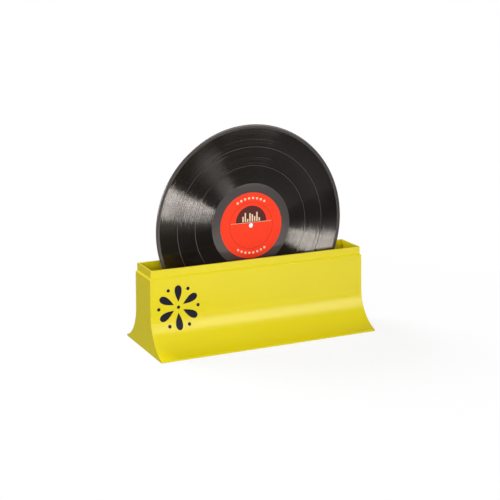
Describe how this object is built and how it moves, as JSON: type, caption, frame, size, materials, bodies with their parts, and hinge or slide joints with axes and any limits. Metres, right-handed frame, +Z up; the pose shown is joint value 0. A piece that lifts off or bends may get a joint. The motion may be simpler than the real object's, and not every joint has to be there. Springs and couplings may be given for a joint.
{
  "type": "record cleaning machine",
  "caption": "Yellow moulded trough with a flared foot; a record stands on grooved rollers between two upright velvet brushes and is turned by hand through a bath.",
  "frame": {"origin": "middle of the base, on the surface that the machine stands on", "axes": "+X along the trough, +Y from its front to its back, +Z up"},
  "size_m": [0.3478, 0.1446, 0.3188],
  "materials": {
    "yellow_plastic": "satin moulded plastic, fine eggshell texture",
    "black_plastic": "satin black moulded plastic",
    "black_velvet": "short dense pile",
    "vinyl": "pressed grooves that streak the light",
    "label_paper": "uncoated printed paper"
  },
  "bodies": {
    "basin": {"basin": "yellow_plastic"},
    "roller_left": {"roller_left": "black_plastic"},
    "roller_right": {"roller_right": "black_plastic"},
    "brush_front": {"brush_holder_front": "yellow_plastic", "brush_pad_front": "black_velvet"},
    "brush_rear": {"brush_holder_rear": "yellow_plastic", "brush_pad_rear": "black_velvet"},
    "record": {"record": "vinyl", "label_front": "label_paper", "label_rear": "label_paper"}
  },
  "joints": [
    {"name": "record_spin", "type": "hinge", "parent": "basin", "child": "record", "pos_m": [0, 0, 0.168], "axis": [0, 1, 0], "continuous": true},
    {"name": "roller_left_spin", "type": "hinge", "parent": "basin", "child": "roller_left", "pos_m": [-0.098, 0, 0.04089], "axis": [0, 1, 0], "continuous": true},
    {"name": "roller_right_spin", "type": "hinge", "parent": "basin", "child": "roller_right", "pos_m": [0.098, 0, 0.04089], "axis": [0, 1, 0], "continuous": true},
    {"name": "brush_front_lift", "type": "slide", "parent": "basin", "child": "brush_front", "axis": [0, 0, 1], "range_m": [0, 0.116]},
    {"name": "brush_rear_lift", "type": "slide", "parent": "basin", "child": "brush_rear", "axis": [0, 0, 1], "range_m": [0, 0.116]}
  ],
  "couplings": [
    {"joint": "roller_left_spin", "follows": "record_spin", "ratio": -15.874},
    {"joint": "roller_right_spin", "follows": "record_spin", "ratio": -15.874}
  ]
}
